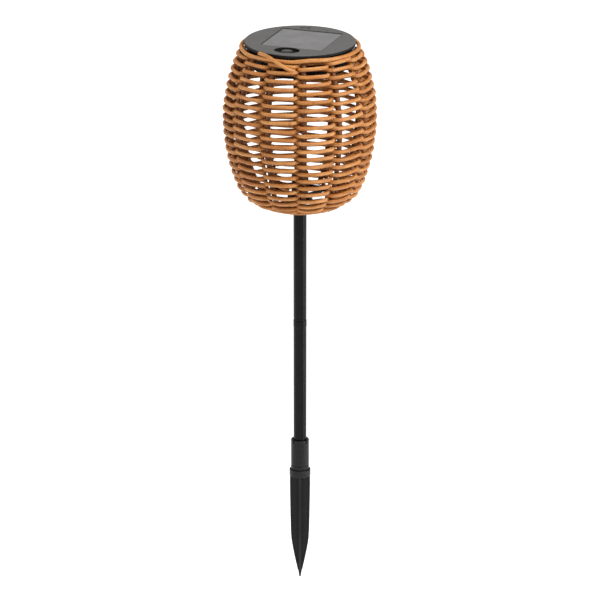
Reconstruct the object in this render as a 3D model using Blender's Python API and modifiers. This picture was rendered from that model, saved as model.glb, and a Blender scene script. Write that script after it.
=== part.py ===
"""A woven solar stake light: ground spike, two-piece pole, basket shade and solar lamp cap.

Run it with blender --background --python part.py, or from Blender's text editor.
Metres, +Z up. The origin is on the pole's axis at ground level, under the spike's flange.
"""

import math

import bmesh
import bpy
from mathutils import Matrix, Vector

# ---------------------------------------------------------------- driving dimensions
GAP = 0.0003  # clearance between pieces that meet or slide

SPIKE_LENGTH = 0.1086  # ground level to the tip
SPIKE_WIDTH = 0.0200  # across two fins at the top
FLANGE_DIAMETER = 0.0206
FLANGE_HEIGHT = 0.0072
COLLAR_DIAMETER = 0.0176
COLLAR_HEIGHT = 0.0312

POLE_DIAMETER = 0.0127
POLE_WALL = 0.0008
LOWER_TUBE_TOP = 0.1625
UPPER_TUBE_TOP = 0.3097

SHADE_BOTTOM = 0.2815
SHADE_HEIGHT = 0.1575
SHADE_DIAMETER = 0.1480
SHADE_FOOT_DIAMETER = 0.0800
STAKE_COUNT = 12
STAKE_DIAMETER = 0.0048
STRAND_DIAMETER = 0.0040
STRAND_ROWS = 23
FIRST_STAKE = math.radians(23.5)  # measured from -Y toward +X

CAP_DIAMETER = 0.1050
CAP_THICKNESS = 0.0035
HOUSING_DEPTH = 0.0213
PANEL_SIZE = 0.0594
PANEL_SHIFT = 0.0047  # panel centre behind the cap's centre
BUTTON_DIAMETER = 0.0110
BUTTON_SHIFT = 0.0355  # button centre in front of the cap's centre
BUTTON_TRAVEL = 0.0015
BATTERY_DIAMETER = 0.0142
BATTERY_LENGTH = 0.0500

# ---------------------------------------------------------------- derived positions
SHADE_TOP = SHADE_BOTTOM + SHADE_HEIGHT
MOUTH_RADIUS = CAP_DIAMETER / 2 + 0.0041
STAKE_INSET = 0.0070  # shade's outer surface to a stake's centre line
FRAME_SPANS = 9  # straight spans along a stake
HOUSING_RADIUS = CAP_DIAMETER / 2 - 0.0065
HOUSING_WALL = 0.0018
LID_UNDERSIDE = SHADE_TOP - 0.0007
CAP_TOP = LID_UNDERSIDE + CAP_THICKNESS
HOUSING_BOTTOM = LID_UNDERSIDE - HOUSING_DEPTH
FLOOR_TOP = HOUSING_BOTTOM + 0.0020
BORE_RADIUS = POLE_DIAMETER / 2 + GAP
TUBE_INSIDE = POLE_DIAMETER / 2 - POLE_WALL
BOARD_BOTTOM = FLOOR_TOP + 0.0060
BOARD_TOP = BOARD_BOTTOM + 0.0016
BATTERY_Y = 0.0200
BATTERY_Z = HOUSING_BOTTOM + 0.0094
DOOR_HINGE_Y = 0.0305
DOOR_HINGE_Z = HOUSING_BOTTOM + 0.0006

# ---------------------------------------------------------------- scene set-up
for old in list(bpy.data.objects):
    bpy.data.objects.remove(old, do_unlink=True)

pieces = bpy.data.collections.new("woven_stake_light")
cutters = bpy.data.collections.new("cutters")
bpy.context.scene.collection.children.link(pieces)
bpy.context.scene.collection.children.link(cutters)


def make_material(name, colour, roughness, metallic=0.0):
    made = bpy.data.materials.new(name)
    made.use_nodes = True
    shader = made.node_tree.nodes["Principled BSDF"]
    shader.inputs["Base Color"].default_value = (*colour, 1.0)
    shader.inputs["Roughness"].default_value = roughness
    shader.inputs["Metallic"].default_value = metallic
    return made


BLACK_PLASTIC = make_material("black_plastic", (0.020, 0.020, 0.021), 0.45)
BLACK_PAINT = make_material("black_painted_steel", (0.012, 0.012, 0.013), 0.35)
GREY_PLASTIC = make_material("grey_plastic", (0.16, 0.155, 0.15), 0.50)
RATTAN = make_material("rattan", (0.41, 0.17, 0.055), 0.55)
CANE = make_material("stake_cane", (0.30, 0.12, 0.04), 0.60)
PANEL_FACE = make_material("solar_panel_face", (0.26, 0.25, 0.245), 0.25)
RUBBER = make_material("black_rubber", (0.015, 0.015, 0.015), 0.80)
STEEL = make_material("bright_steel", (0.60, 0.60, 0.60), 0.30, 1.0)
BOARD_GREEN = make_material("circuit_board", (0.02, 0.14, 0.05), 0.40)
CHIP_BLACK = make_material("chip_black", (0.015, 0.015, 0.015), 0.50)
CELL_WRAP = make_material("battery_wrap", (0.04, 0.16, 0.40), 0.35)
FROSTED = make_material("frosted_lens", (0.80, 0.78, 0.72), 0.30)
LED_BODY = make_material("led_body", (0.80, 0.70, 0.35), 0.15)
RED_WIRE = make_material("red_wire", (0.45, 0.02, 0.02), 0.50)
BLACK_WIRE = make_material("black_wire", (0.02, 0.02, 0.02), 0.50)


# ---------------------------------------------------------------- bodies (joint frames)
def body(name, location, parent=None):
    empty = bpy.data.objects.new(name, None)
    pieces.objects.link(empty)
    empty.parent = parent
    base = world_location(parent)
    empty.location = Vector(location) - base
    return empty


def world_location(parent):
    total = Vector((0.0, 0.0, 0.0))
    while parent is not None:
        total += parent.location
        parent = parent.parent
    return total


SPIKE = body("spike_body", (0, 0, 0))
LOWER_POLE = body("lower_pole_body", (0, 0, FLANGE_HEIGHT), SPIKE)
UPPER_POLE = body("upper_pole_body", (0, 0, LOWER_TUBE_TOP), LOWER_POLE)
SHADE = body("shade_body", (0, 0, UPPER_TUBE_TOP), UPPER_POLE)
LAMP = body("lamp_body", (0, 0, LID_UNDERSIDE), SHADE)
BUTTON = body("button_body", (0, -BUTTON_SHIFT, CAP_TOP), LAMP)
DOOR = body("door_body", (0, DOOR_HINGE_Y, DOOR_HINGE_Z), LAMP)


# ---------------------------------------------------------------- modelling helpers
def add_piece(name, data, look, parent, location=(0, 0, 0), smooth_angle=35):
    """A named piece whose mesh is in local coordinates about the world point location."""
    piece = bpy.data.objects.new(name, data)
    data.materials.append(look)
    pieces.objects.link(piece)
    piece.parent = parent
    piece.location = Vector(location) - world_location(parent)
    if hasattr(data, "shade_smooth") and len(data.polygons):
        data.shade_smooth()
        data.set_sharp_from_angle(angle=math.radians(smooth_angle))
    return piece


def add_cutter(name, data, location=(0, 0, 0)):
    cutter = bpy.data.objects.new(name, data)
    cutters.objects.link(cutter)
    cutter.location = location
    cutter.hide_render = True
    cutter.display_type = "WIRE"
    return cutter


def boolean(target, cutter, operation="DIFFERENCE"):
    modifier = target.modifiers.new(f"{operation.lower()}_{cutter.name}", "BOOLEAN")
    modifier.operation = operation
    modifier.object = cutter
    modifier.solver = "EXACT"


def cylinder_mesh(name, radius, depth, segments=32, end_radius=None):
    """A cylinder or cone about Z, centred on its own origin."""
    mesh = bpy.data.meshes.new(name)
    solid = bmesh.new()
    bmesh.ops.create_cone(
        solid,
        cap_ends=True,
        segments=segments,
        radius1=radius,
        radius2=radius if end_radius is None else end_radius,
        depth=depth,
    )
    solid.to_mesh(mesh)
    solid.free()
    return mesh


def box_mesh(name, size_x, size_y, size_z):
    mesh = bpy.data.meshes.new(name)
    solid = bmesh.new()
    bmesh.ops.create_cube(solid, size=1.0)
    bmesh.ops.scale(solid, vec=(size_x, size_y, size_z), verts=solid.verts)
    solid.to_mesh(mesh)
    solid.free()
    return mesh


def profile_mesh(name, profile, closed):
    """Edges in the XZ plane for a Screw modifier; the outer side runs from top to bottom."""
    count = len(profile)
    edges = [(i, i + 1) for i in range(count - 1)]
    if closed:
        edges.append((count - 1, 0))
    mesh = bpy.data.meshes.new(name)
    mesh.from_pydata([(r, 0.0, z) for r, z in profile], edges, [])
    return mesh


def turn(target, steps=48):
    screw = target.modifiers.new("turn", "SCREW")
    screw.axis = "Z"
    screw.angle = math.tau
    screw.steps = steps
    screw.render_steps = steps
    screw.use_merge_vertices = True
    screw.merge_threshold = 0.00001
    screw.use_smooth_shade = True


def turned(name, profile, look, parent, location=(0, 0, 0), steps=48, closed=True):
    """A turned piece; profile points are (radius, height above location)."""
    piece = add_piece(name, profile_mesh(name, profile, closed), look, parent, location)
    turn(piece, steps)
    return piece


def turned_adder(name, profile, location=(0, 0, 0), steps=32, closed=True):
    adder = add_cutter(name, profile_mesh(name, profile, closed), location)
    turn(adder, steps)
    return adder


def tube_profile(outer, inner, low, high):
    return [(inner, high), (outer, high), (outer, low), (inner, low)]


def circle_profile(centre_radius, centre_height, radius, count=12):
    points = []
    for i in range(count):
        angle = math.pi / 2 - math.tau * i / count
        points.append(
            (
                centre_radius + radius * math.cos(angle),
                centre_height + radius * math.sin(angle),
            )
        )
    return points


def wire_curve(name, points, radius, resolution=2):
    curve = bpy.data.curves.new(name, "CURVE")
    curve.dimensions = "3D"
    curve.fill_mode = "FULL"
    curve.bevel_depth = radius
    curve.bevel_resolution = resolution
    curve.use_fill_caps = True
    spline = curve.splines.new("POLY")
    spline.points.add(len(points) - 1)
    for point, co in zip(spline.points, points):
        point.co = (*co, 1.0)
    return curve


def smooth_route(stops, per_span=5):
    """Points on a Catmull-Rom curve through the stops."""
    stops = [Vector(stop) for stop in stops]
    ends = [2 * stops[0] - stops[1]] + stops + [2 * stops[-1] - stops[-2]]
    route = []
    for i in range(1, len(ends) - 2):
        a, b, c, d = ends[i - 1 : i + 3]
        for k in range(per_span):
            t = k / per_span
            route.append(
                0.5
                * (
                    2 * b
                    + (c - a) * t
                    + (2 * a - 5 * b + 4 * c - d) * t**2
                    + (3 * b - a - 3 * c + d) * t**3
                )
            )
    route.append(stops[-1])
    return route


def plate_mesh(name, outline, thickness, turn_matrix=None):
    """A flat outline given a thickness, welded into one closed mesh."""
    curve = bpy.data.curves.new(name + "_outline", "CURVE")
    curve.dimensions = "2D"
    curve.fill_mode = "BOTH"
    curve.extrude = thickness / 2
    spline = curve.splines.new("POLY")
    spline.points.add(len(outline) - 1)
    for point, (x, y) in zip(spline.points, outline):
        point.co = (x, y, 0.0, 1.0)
    spline.use_cyclic_u = True
    holder = bpy.data.objects.new(name + "_outline", curve)
    cutters.objects.link(holder)
    graph = bpy.context.evaluated_depsgraph_get()
    mesh = bpy.data.meshes.new_from_object(holder.evaluated_get(graph))
    bpy.data.objects.remove(holder, do_unlink=True)
    solid = bmesh.new()
    solid.from_mesh(mesh)
    bmesh.ops.remove_doubles(solid, verts=solid.verts, dist=0.000005)
    bmesh.ops.recalc_face_normals(solid, faces=solid.faces)
    if turn_matrix is not None:
        bmesh.ops.transform(solid, matrix=turn_matrix, verts=solid.verts)
    solid.to_mesh(mesh)
    solid.free()
    return mesh


def around(radius, azimuth):
    """X and Y of a point at an azimuth measured from -Y toward +X."""
    return radius * math.sin(azimuth), -radius * math.cos(azimuth)


# ---------------------------------------------------------------- ground spike
FIN_WEB = 0.0016
FIN_RIM = 0.0028
FIN_RIM_WIDTH = 0.0016
FIN_TURN = math.radians(20)  # one fin faces azimuth 20 degrees


def fin_half_width(depth):
    """Half the spike's width at a depth: nearly parallel, then drawn to a point."""
    share = depth / SPIKE_LENGTH
    shoulder = SPIKE_WIDTH / 2 * (1 - 0.12 * share - 0.22 * share**3)
    taper_start = 0.58
    if share <= taper_start:
        return shoulder
    fall = (share - taper_start) / (1 - taper_start)
    return shoulder * (1 - fall**1.45) + 0.0007 * fall


def fin_outline(inset, top, spans, depth):
    """The spike's outline, brought in by inset, as (across, height) points."""
    depths = [depth * i / spans for i in range(1, spans + 1)]
    side = [(max(fin_half_width(d) - inset, 0.0008), -d) for d in depths]
    right = [(side[0][0], top)] + side
    left = [(-x, z) for x, z in reversed(right)]
    return right + left


def rim_outline(top):
    """The thick edge along one side of a fin."""
    depths = [SPIKE_LENGTH * 0.93 * i / 12 for i in range(1, 13)]
    outer = [(fin_half_width(d), -d) for d in depths]
    outer = [(outer[0][0], top)] + outer
    inner = [(x - FIN_RIM_WIDTH, z) for x, z in reversed(outer)]
    return outer + inner


def build_spike():
    boss = TUBE_INSIDE - GAP
    flange = FLANGE_DIAMETER / 2
    bevel = 0.0006
    profile = [
        (0.0, FLANGE_HEIGHT + 0.0045),
        (boss - 0.0005, FLANGE_HEIGHT + 0.0045),
        (boss, FLANGE_HEIGHT + 0.0040),
        (boss, FLANGE_HEIGHT),
        (flange - bevel, FLANGE_HEIGHT),
        (flange, FLANGE_HEIGHT - bevel),
        (flange, bevel),
        (flange - bevel, 0.0),
        (0.0, 0.0),
    ]
    spike = turned("ground_spike", profile, BLACK_PLASTIC, SPIKE, closed=False)
    upright = Matrix.Rotation(math.pi / 2, 4, "X")
    for number, angle in enumerate((FIN_TURN, FIN_TURN + math.pi / 2)):
        facing = Matrix.Rotation(angle, 4, "Z") @ upright
        top = 0.0026 - 0.0003 * number
        depth = SPIKE_LENGTH - 0.0004 * number
        outline = fin_outline(0.0004, top, 14 - number, depth)
        web = plate_mesh(f"fin_web_{number}", outline, FIN_WEB, facing)
        boolean(spike, add_cutter(f"fin_web_{number}", web), "UNION")
        for side, mirror in enumerate((1, -1)):
            outline = [(x * mirror, z) for x, z in rim_outline(0.0031)]
            rim = plate_mesh(f"fin_rim_{number}_{side}", outline, FIN_RIM, facing)
            boolean(spike, add_cutter(f"fin_rim_{number}_{side}", rim), "UNION")
    return spike


def build_collar():
    low = FLANGE_HEIGHT + GAP
    high = FLANGE_HEIGHT + COLLAR_HEIGHT
    radius = COLLAR_DIAMETER / 2
    groove = FLANGE_HEIGHT + 0.0041
    profile = [
        (BORE_RADIUS, high),
        (radius - 0.0006, high),
        (radius, high - 0.0006),
        (radius, groove + 0.0005),
        (radius - 0.0005, groove),
        (radius, groove - 0.0005),
        (radius, low + 0.0004),
        (radius - 0.0004, low),
        (BORE_RADIUS, low),
    ]
    collar = turned("spike_collar", profile, BLACK_PLASTIC, SPIKE, steps=32)
    for number in range(4):
        slot = add_cutter(
            f"collar_slot_{number}",
            box_mesh(f"collar_slot_{number}", 0.0045, 0.0014, 0.0060),
        )
        angle = math.radians(20 + 45 + 90 * number)
        x, y = around(radius - 0.0006, angle)
        slot.location = (x, y, high)
        slot.rotation_euler = (0, 0, math.atan2(y, x))
        boolean(collar, slot)


# ---------------------------------------------------------------- pole
def build_pole():
    radius = POLE_DIAMETER / 2
    low = FLANGE_HEIGHT + GAP
    top = LOWER_TUBE_TOP
    bead = radius + 0.0002
    lower = [
        (TUBE_INSIDE, top),
        (bead - 0.0003, top),
        (bead, top - 0.0004),
        (bead, top - 0.0068),
        (radius, top - 0.0080),
        (radius, low),
        (TUBE_INSIDE, low),
    ]
    turned("lower_tube", lower, BLACK_PAINT, LOWER_POLE, steps=24)

    sleeve = TUBE_INSIDE - GAP
    ring_low = top + GAP
    ring_high = ring_low + 0.0008
    reach = 0.0220
    ferrule = [
        (sleeve - 0.0014, top + reach),
        (sleeve - 0.0005, top + reach),
        (sleeve, top + reach - 0.0010),
        (sleeve, ring_high),
        (radius - 0.0002, ring_high),
        (radius - 0.0002, ring_low),
        (sleeve, ring_low),
        (sleeve, top - reach),
        (sleeve - 0.0014, top - reach),
    ]
    turned("pole_ferrule", ferrule, BLACK_PLASTIC, LOWER_POLE, steps=24)

    upper_low = ring_high + GAP
    turned(
        "upper_tube",
        tube_profile(radius, TUBE_INSIDE, upper_low, UPPER_TUBE_TOP),
        BLACK_PAINT,
        UPPER_POLE,
        steps=24,
    )
    plug = [
        (0.0, UPPER_TUBE_TOP + GAP + 0.0012),
        (radius - 0.0004, UPPER_TUBE_TOP + GAP + 0.0012),
        (radius, UPPER_TUBE_TOP + GAP + 0.0008),
        (radius, UPPER_TUBE_TOP + GAP),
        (sleeve, UPPER_TUBE_TOP + GAP),
        (sleeve, UPPER_TUBE_TOP - 0.0110),
        (sleeve - 0.0006, UPPER_TUBE_TOP - 0.0116),
        (0.0, UPPER_TUBE_TOP - 0.0116),
    ]
    turned("tube_plug", plug, BLACK_PLASTIC, UPPER_POLE, steps=24, closed=False)


# ---------------------------------------------------------------- shade
def shade_outline(share):
    """Radius and height of the shade's outer surface, share 0 at the foot to 1 at the rim."""
    widest = 0.56
    foot = SHADE_FOOT_DIAMETER / 2
    full = SHADE_DIAMETER / 2
    if share < widest:
        run = 1 - share / widest
        radius = full - (full - foot) * (0.63 * run**2 + 0.37 * run**13)
    else:
        run = (share - widest) / (1 - widest)
        radius = full - (full - MOUTH_RADIUS) * run**1.85
    return radius, SHADE_BOTTOM + SHADE_HEIGHT * share


def shade_row(row_share):
    """Outline point and outward normal at an equal share of the outline's length."""
    samples = [shade_outline(i / 400) for i in range(401)]
    lengths = [0.0]
    for (r0, z0), (r1, z1) in zip(samples, samples[1:]):
        lengths.append(lengths[-1] + math.hypot(r1 - r0, z1 - z0))
    wanted = row_share * lengths[-1]
    index = 0
    while index < 399 and lengths[index + 1] < wanted:
        index += 1
    span = lengths[index + 1] - lengths[index]
    blend = (wanted - lengths[index]) / span
    (r0, z0), (r1, z1) = samples[index], samples[index + 1]
    slope_from = samples[max(index - 6, 0)]
    slope_to = samples[min(index + 7, 400)]
    along = Vector((slope_to[0] - slope_from[0], slope_to[1] - slope_from[1])).normalized()
    point = Vector((r0 + (r1 - r0) * blend, z0 + (z1 - z0) * blend))
    return point, Vector((along.y, -along.x))


def build_woven_shade():
    """A barrel wall just outside the stakes, pressed in where a strand passes behind one."""
    wall = STAKE_INSET - STAKE_DIAMETER / 2 - GAP
    rows = [shade_row(i / (STRAND_ROWS - 1)) for i in range(STRAND_ROWS)]
    inner_rows = [shade_row(i / FRAME_SPANS) for i in range(FRAME_SPANS + 1)]
    outside = [point for point, normal in reversed(rows)]
    inside = [point - normal * wall for point, normal in inner_rows]
    profile = [tuple(p) for p in outside + inside]
    shade = add_piece("woven_shade", profile_mesh("shade_blank", profile, True), RATTAN, SHADE)
    turn(shade, 3 * STAKE_COUNT)
    graph = bpy.context.evaluated_depsgraph_get()
    mesh = bpy.data.meshes.new_from_object(shade.evaluated_get(graph))
    shade.modifiers.clear()
    shade.data = mesh
    shade.location = Vector((0, 0, 0)) - world_location(SHADE)
    press = 0.0020
    mesh.transform(Matrix.Rotation(FIRST_STAKE - math.pi / 2, 4, "Z"))
    for vertex in mesh.vertices:
        radius = math.hypot(vertex.co.x, vertex.co.y)
        height = vertex.co.z
        row = min(
            range(STRAND_ROWS),
            key=lambda i: math.hypot(rows[i][0].x - radius, rows[i][0].y - height),
        )
        point, normal = rows[row]
        if math.hypot(point.x - radius, point.y - height) > 0.0005:
            continue
        azimuth = math.atan2(vertex.co.x, -vertex.co.y) - FIRST_STAKE
        panel = math.floor(azimuth / math.tau * STAKE_COUNT + 0.01)
        if (row + panel) % 2 == 0 or row in (0, STRAND_ROWS - 1):
            continue
        new = point - normal * press
        scale = new.x / radius
        vertex.co = (vertex.co.x * scale, vertex.co.y * scale, new.y)
    return shade


def build_shade_frame():
    start_point, start_normal = shade_row(0.0)
    ring_wire = 0.0016
    foot_centre = start_point - start_normal * STAKE_INSET
    inward = Vector((-start_normal.y, start_normal.x))
    if inward.x > 0:
        inward = -inward
    ring_centre = foot_centre + inward * (ring_wire + GAP)
    turned(
        "bottom_ring",
        circle_profile(ring_centre.x, ring_centre.y, ring_wire, 8),
        BLACK_PAINT,
        SHADE,
        steps=36,
    )
    rim_z = LID_UNDERSIDE - GAP
    ring_outer = CAP_DIAMETER / 2 - 0.0008
    ring_inner = HOUSING_RADIUS + 0.0012
    ring_low = rim_z - 0.0026
    turned(
        "top_ring",
        tube_profile(ring_outer, ring_inner, ring_low, rim_z),
        BLACK_PAINT,
        SHADE,
        steps=48,
    )
    route = []
    for i in range(FRAME_SPANS + 1):
        point, normal = shade_row(i / FRAME_SPANS)
        centre = point - normal * STAKE_INSET
        if centre.y < ring_low - GAP - 0.0012:
            route.append(centre)
    last = route[-1]
    point, normal = shade_row(1.0)
    direction = (point - normal * STAKE_INSET - last).normalized()
    reach = (ring_low - GAP - 0.0012 - last.y) / direction.y
    route.append(last + direction * reach)
    for number in range(STAKE_COUNT):
        azimuth = FIRST_STAKE + math.tau * number / STAKE_COUNT
        points = [(*around(p.x, azimuth), p.y) for p in route]
        curve = wire_curve(f"stake_{number + 1:02d}", points, STAKE_DIAMETER / 2)
        add_piece(f"stake_{number + 1:02d}", curve, CANE, SHADE)

    socket_radius = BORE_RADIUS + 0.0014
    plug_top = UPPER_TUBE_TOP + GAP + 0.0012
    flange_low = ring_centre.y - 0.0035
    flange_high = flange_low + 0.0018
    flange_radius = socket_radius + 0.0040
    socket = [
        (0.0, plug_top + GAP + 0.0014),
        (socket_radius - 0.0008, plug_top + GAP + 0.0014),
        (socket_radius, plug_top + GAP + 0.0006),
        (socket_radius, flange_high),
        (flange_radius, flange_high),
        (flange_radius, flange_low),
        (socket_radius, flange_low),
        (socket_radius, SHADE_BOTTOM),
        (BORE_RADIUS, SHADE_BOTTOM),
        (BORE_RADIUS, plug_top + GAP),
        (0.0, plug_top + GAP),
    ]
    turned("pole_socket", socket, BLACK_PLASTIC, SHADE, steps=24, closed=False)

    hub_low = flange_high + GAP
    hub_high = hub_low + 0.0022
    spider = turned(
        "base_spider",
        tube_profile(flange_radius, socket_radius + GAP, hub_low, hub_high),
        BLACK_PAINT,
        SHADE,
        steps=24,
    )
    arm_start = socket_radius + 0.0020
    arm_end = ring_centre.x - ring_wire - GAP
    for number in range(4):
        azimuth = math.radians(20 + 45 + 90 * number)
        arm = add_cutter(
            f"spider_arm_{number}",
            box_mesh(f"spider_arm_{number}", arm_end - arm_start, 0.0048, 0.0016),
        )
        x, y = around((arm_end + arm_start) / 2, azimuth)
        arm.location = (x, y, (hub_low + hub_high) / 2)
        arm.rotation_euler = (0, 0, math.atan2(y, x))
        boolean(spider, arm, "UNION")


# ---------------------------------------------------------------- lamp cap
PANEL_POCKET = PANEL_SIZE + 0.0018
PANEL_RECESS = 0.0006
PANEL_THICKNESS = 0.0016
POCKET_FLOOR = CAP_TOP - PANEL_RECESS - PANEL_THICKNESS - GAP
SCREW_SPOTS = ((0.0, 0.0375), (-0.0365, -0.0130), (0.0365, -0.0130))
LEAD_SPOTS = ((-0.0090, -0.0140), (0.0090, -0.0140))
SENSOR_SPOT = (0.0129, 0.0383)


def build_cap_lid():
    radius = CAP_DIAMETER / 2
    spigot = HOUSING_RADIUS - HOUSING_WALL - GAP
    profile = [
        (0.0, CAP_TOP),
        (radius - 0.0007, CAP_TOP),
        (radius, CAP_TOP - 0.0007),
        (radius, LID_UNDERSIDE + 0.0005),
        (radius - 0.0005, LID_UNDERSIDE),
        (spigot, LID_UNDERSIDE),
        (spigot, LID_UNDERSIDE - 0.0038),
        (spigot - 0.0015, LID_UNDERSIDE - 0.0038),
        (spigot - 0.0015, LID_UNDERSIDE),
        (0.0, LID_UNDERSIDE),
    ]
    lid = turned("cap_lid", profile, GREY_PLASTIC, LAMP, steps=48, closed=False)
    post_low = FLOOR_TOP + 0.0015 + GAP
    post_depth = LID_UNDERSIDE + 0.0005 - post_low
    for number, (x, y) in enumerate(SCREW_SPOTS):
        post = add_cutter(
            f"lid_post_{number}",
            cylinder_mesh(f"lid_post_{number}", 0.0032, post_depth, 12),
            (x, y, post_low + post_depth / 2),
        )
        boolean(lid, post, "UNION")
    guide_radius = BUTTON_DIAMETER / 2 + GAP
    guide = add_cutter(
        "button_guide",
        cylinder_mesh("button_guide", guide_radius + 0.0016, 0.0041, 24),
        (0, -BUTTON_SHIFT, LID_UNDERSIDE - 0.0033 + 0.00205),
    )
    boolean(lid, guide, "UNION")
    for number, (x, y) in enumerate(SCREW_SPOTS):
        bore = add_cutter(
            f"post_bore_{number}",
            cylinder_mesh(f"post_bore_{number}", 0.0017, 0.0130, 10),
            (x, y, post_low + 0.0050),
        )
        boolean(lid, bore)
    pocket = add_cutter(
        "panel_pocket",
        box_mesh("panel_pocket", PANEL_POCKET, PANEL_POCKET, 0.0060),
        (0, PANEL_SHIFT, POCKET_FLOOR + 0.0030),
    )
    boolean(lid, pocket)
    well = cylinder_mesh("button_well", 0.0125, 0.0060, 32)
    well.transform(Matrix.Diagonal((1.0, 0.0096 / 0.0125, 1.0, 1.0)))
    boolean(
        lid,
        add_cutter("button_well", well, (0, -BUTTON_SHIFT - 0.0002, CAP_TOP - 0.0026 + 0.0030)),
    )
    bore = add_cutter(
        "button_bore",
        cylinder_mesh("button_bore", guide_radius + 0.0001, 0.0200, 24),
        (0, -BUTTON_SHIFT, LID_UNDERSIDE),
    )
    boolean(lid, bore)
    for number, (x, y) in enumerate(LEAD_SPOTS):
        hole = add_cutter(
            f"lead_hole_{number}",
            cylinder_mesh(f"lead_hole_{number}", 0.0011, 0.0100, 8),
            (x, y, LID_UNDERSIDE),
        )
        boolean(lid, hole)
    sensor = add_cutter(
        "sensor_hole",
        cylinder_mesh("sensor_hole", 0.0009, 0.0040, 10),
        (*SENSOR_SPOT, CAP_TOP + 0.0002),
    )
    boolean(lid, sensor)


def build_panel():
    base = POCKET_FLOOR + GAP
    add_piece(
        "solar_panel",
        box_mesh("solar_panel", PANEL_SIZE, PANEL_SIZE, PANEL_THICKNESS),
        PANEL_FACE,
        LAMP,
        (0, PANEL_SHIFT, base + PANEL_THICKNESS / 2),
    )
    half_out = PANEL_POCKET / 2 - 0.00015
    half_in = PANEL_SIZE / 2 + 0.00015
    thick = PANEL_THICKNESS + 0.0002
    gasket = add_piece(
        "panel_gasket",
        box_mesh("panel_gasket", 2 * half_out, 2 * half_out, thick),
        RUBBER,
        LAMP,
        (0, PANEL_SHIFT, base + thick / 2),
    )
    window = add_cutter(
        "gasket_window",
        box_mesh("gasket_window", 2 * half_in, 2 * half_in, 0.0100),
        (0, PANEL_SHIFT, base + thick / 2),
    )
    boolean(gasket, window)


BAY_LEFT = -0.0303
BAY_RIGHT = 0.0266
BAY_FRONT = BATTERY_Y - BATTERY_DIAMETER / 2 - GAP
BAY_BACK = BATTERY_Y + BATTERY_DIAMETER / 2 + GAP
LENS_RADIUS = 0.0070
BOARD_SPOTS = ((-0.0120, -0.0360), (0.0120, -0.0360), (-0.0120, 0.0045), (0.0120, 0.0045))


def build_housing():
    radius = HOUSING_RADIUS
    inner = radius - HOUSING_WALL
    wall_top = LID_UNDERSIDE - 0.0011
    profile = [
        (inner, wall_top),
        (radius, wall_top),
        (radius, HOUSING_BOTTOM + 0.0010),
        (radius - 0.0010, HOUSING_BOTTOM),
        (0.0, HOUSING_BOTTOM),
        (0.0, FLOOR_TOP),
        (inner, FLOOR_TOP),
    ]
    housing = add_piece(
        "lamp_housing", profile_mesh("lamp_housing", cup_order(profile), False), BLACK_PLASTIC, LAMP
    )
    turn(housing, 48)
    mid_x = (BAY_LEFT + BAY_RIGHT) / 2
    bay_x = BAY_RIGHT - BAY_LEFT
    bay_y = BAY_BACK - BAY_FRONT
    wall = 0.0012
    bay_block = add_cutter(
        "bay_block",
        box_mesh("bay_block", bay_x + 2 * wall, bay_y + 2 * wall, 0.0140),
        (mid_x, BATTERY_Y, FLOOR_TOP - 0.0005 + 0.0070),
    )
    boolean(housing, bay_block, "UNION")
    for number, (x, y) in enumerate(SCREW_SPOTS):
        pad = add_cutter(
            f"screw_pad_{number}",
            cylinder_mesh(f"screw_pad_{number}", 0.0042, 0.0025, 12),
            (x, y, FLOOR_TOP + 0.0015 - 0.00125),
        )
        boolean(housing, pad, "UNION")
    for number, (x, y) in enumerate(BOARD_SPOTS):
        height = BOARD_BOTTOM - GAP - FLOOR_TOP + 0.0005
        post = add_cutter(
            f"board_post_{number}",
            cylinder_mesh(f"board_post_{number}", 0.0018, height, 10),
            (x, y, FLOOR_TOP - 0.0005 + height / 2),
        )
        boolean(housing, post, "UNION")
    for number, side in enumerate((-1, 1)):
        lug = add_cutter(
            f"hinge_lug_{number}",
            box_mesh(f"hinge_lug_{number}", 0.0024, 0.0026, 0.0030),
            (side * 0.0142, DOOR_HINGE_Y, DOOR_HINGE_Z + 0.0003),
        )
        boolean(housing, lug, "UNION")
    bay = add_cutter(
        "bay_opening",
        box_mesh("bay_opening", bay_x, bay_y, 0.0300),
        (mid_x, BATTERY_Y, FLOOR_TOP),
    )
    boolean(housing, bay)
    rebate = add_cutter(
        "door_rebate",
        box_mesh("door_rebate", 0.0626, 0.0183, 0.0030),
        (mid_x, BATTERY_Y - 0.0001, HOUSING_BOTTOM + 0.0014 - 0.0015),
    )
    boolean(housing, rebate)
    notch = add_cutter(
        "hinge_notch",
        box_mesh("hinge_notch", 0.0254, 0.0042, 0.0100),
        (0, DOOR_HINGE_Y - 0.0001, HOUSING_BOTTOM),
    )
    boolean(housing, notch)
    pin_bore = cylinder_mesh("pin_bore", 0.0010, 0.0304, 12)
    pin_bore.transform(Matrix.Rotation(math.pi / 2, 4, "Y"))
    boolean(housing, add_cutter("pin_bore", pin_bore, (0, DOOR_HINGE_Y, DOOR_HINGE_Z)))
    lens_hole = add_cutter(
        "lens_hole",
        cylinder_mesh("lens_hole", LENS_RADIUS + GAP + 0.0001, 0.0100, 24),
        (0, 0, HOUSING_BOTTOM),
    )
    boolean(housing, lens_hole)
    for number, (x, y) in enumerate(SCREW_SPOTS):
        head = add_cutter(
            f"head_bore_{number}",
            cylinder_mesh(f"head_bore_{number}", 0.0030, 0.0036, 14),
            (x, y, HOUSING_BOTTOM),
        )
        boolean(housing, head)
        shank = add_cutter(
            f"shank_bore_{number}",
            cylinder_mesh(f"shank_bore_{number}", 0.0017, 0.0200, 10),
            (x, y, HOUSING_BOTTOM),
        )
        boolean(housing, shank)
    seal_low = wall_top + GAP
    turned(
        "seal_ring",
        tube_profile(radius - 0.0001, inner + 0.0002, seal_low, LID_UNDERSIDE - GAP),
        RUBBER,
        LAMP,
        steps=48,
    )


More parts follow.
